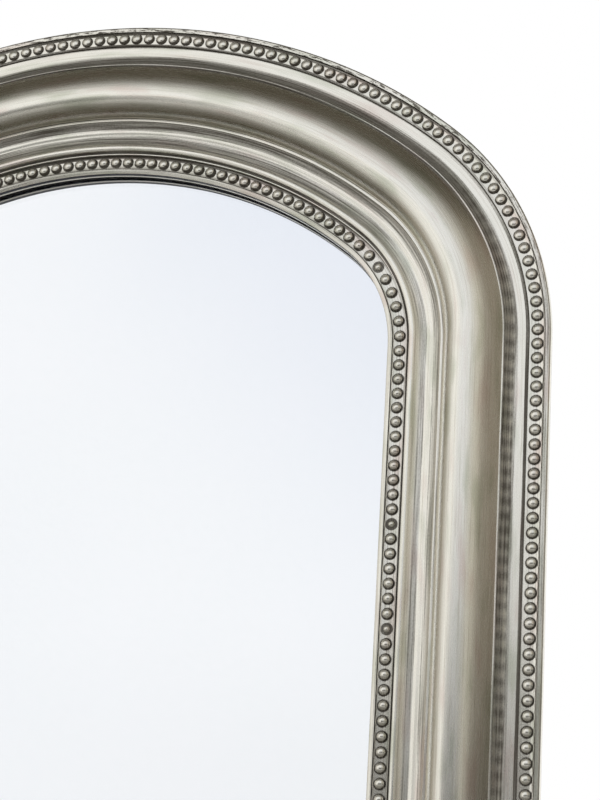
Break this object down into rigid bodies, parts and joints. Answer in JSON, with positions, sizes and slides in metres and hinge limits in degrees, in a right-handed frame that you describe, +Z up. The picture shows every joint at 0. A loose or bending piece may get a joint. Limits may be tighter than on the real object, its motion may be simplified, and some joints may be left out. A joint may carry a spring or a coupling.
{
  "type": "wall mirror",
  "caption": "Arched wall mirror: wide moulded frame in silver leaf, rows of applied beads at its outer and sight edges, recessed glass, ring hangers on the back.",
  "frame": {"origin": "on the wall plane, midway between the two wall hooks that the raised hanger rings hang on", "axes": "+X to the viewer's right, +Y into the wall, +Z up; the glass faces -Y"},
  "size_m": [0.52, 0.0357, 0.728],
  "materials": {
    "silver_leaf_moulding": "softwood moulding, gessoed and covered in warm silver leaf, satin, rubbed and toned",
    "silver_leaf_beads": "moulded composition beads in warm silver leaf with dark toning in the hollows",
    "mirror_glass": "flat float glass, silvered on its back",
    "backing_board": "bare plywood",
    "dowel_wood": "bare beech",
    "hanger_steel": "zinc-plated steel",
    "screw_steel": "zinc-plated steel",
    "button_brass": "dull brass",
    "bumper_rubber": "soft black rubber"
  },
  "bodies": {
    "frame": {"crown_moulding": "silver_leaf_moulding", "bottom_moulding": "silver_leaf_moulding", "right_shoulder_moulding": "silver_leaf_moulding", "left_shoulder_moulding": "silver_leaf_moulding", "right_stile_moulding": "silver_leaf_moulding", "left_stile_moulding": "silver_leaf_moulding", "outer_beads_crown": "silver_leaf_beads", "outer_beads_bottom": "silver_leaf_beads", "outer_beads_right_shoulder": "silver_leaf_beads", "outer_beads_left_shoulder": "silver_leaf_beads", "outer_beads_right_stile": "silver_leaf_beads", "outer_beads_left_stile": "silver_leaf_beads", "inner_beads_crown": "silver_leaf_beads", "inner_beads_bottom": "silver_leaf_beads", "inner_beads_right_shoulder": "silver_leaf_beads", "inner_beads_left_shoulder": "silver_leaf_beads", "inner_beads_right_stile": "silver_leaf_beads", "inner_beads_left_stile": "silver_leaf_beads", "mirror_glass": "mirror_glass", "backing_board": "backing_board", "joint_dowels": "dowel_wood", "hanger_screws": "screw_steel", "turn_button_screws": "screw_steel", "wall_bumpers": "bumper_rubber", "right_hanger_strap": "hanger_steel", "left_hanger_strap": "hanger_steel"},
    "right_ring": {"right_hanger_ring": "hanger_steel"},
    "left_ring": {"left_hanger_ring": "hanger_steel"},
    "button_crown": {"turn_button_crown": "button_brass"},
    "button_right_upper": {"turn_button_right_upper": "button_brass"},
    "button_right_lower": {"turn_button_right_lower": "button_brass"},
    "button_left_upper": {"turn_button_left_upper": "button_brass"},
    "button_left_lower": {"turn_button_left_lower": "button_brass"},
    "button_sill": {"turn_button_sill": "button_brass"}
  },
  "joints": [
    {"name": "right_ring_swing", "type": "hinge", "parent": "frame", "child": "right_ring", "pos_m": [0.2185, -0.0026, -0.0168], "axis": [1, 0, 0], "range_deg": [0, 180]},
    {"name": "left_ring_swing", "type": "hinge", "parent": "frame", "child": "left_ring", "pos_m": [-0.2185, -0.0026, -0.0168], "axis": [1, 0, 0], "range_deg": [0, 180]},
    {"name": "button_crown_turn", "type": "hinge", "parent": "frame", "child": "button_crown", "pos_m": [0, -0.004, 0.14624], "axis": [0, 1, 0], "continuous": true},
    {"name": "button_right_upper_turn", "type": "hinge", "parent": "frame", "child": "button_right_upper", "pos_m": [0.185, -0.004, -0.1268], "axis": [0, 1, 0], "continuous": true},
    {"name": "button_right_lower_turn", "type": "hinge", "parent": "frame", "child": "button_right_lower", "pos_m": [0.185, -0.004, -0.3768], "axis": [0, 1, 0], "continuous": true},
    {"name": "button_left_upper_turn", "type": "hinge", "parent": "frame", "child": "button_left_upper", "pos_m": [-0.185, -0.004, -0.1268], "axis": [0, 1, 0], "continuous": true},
    {"name": "button_left_lower_turn", "type": "hinge", "parent": "frame", "child": "button_left_lower", "pos_m": [-0.185, -0.004, -0.3768], "axis": [0, 1, 0], "continuous": true},
    {"name": "button_sill_turn", "type": "hinge", "parent": "frame", "child": "button_sill", "pos_m": [0, -0.004, -0.4318], "axis": [0, 1, 0], "continuous": true}
  ]
}
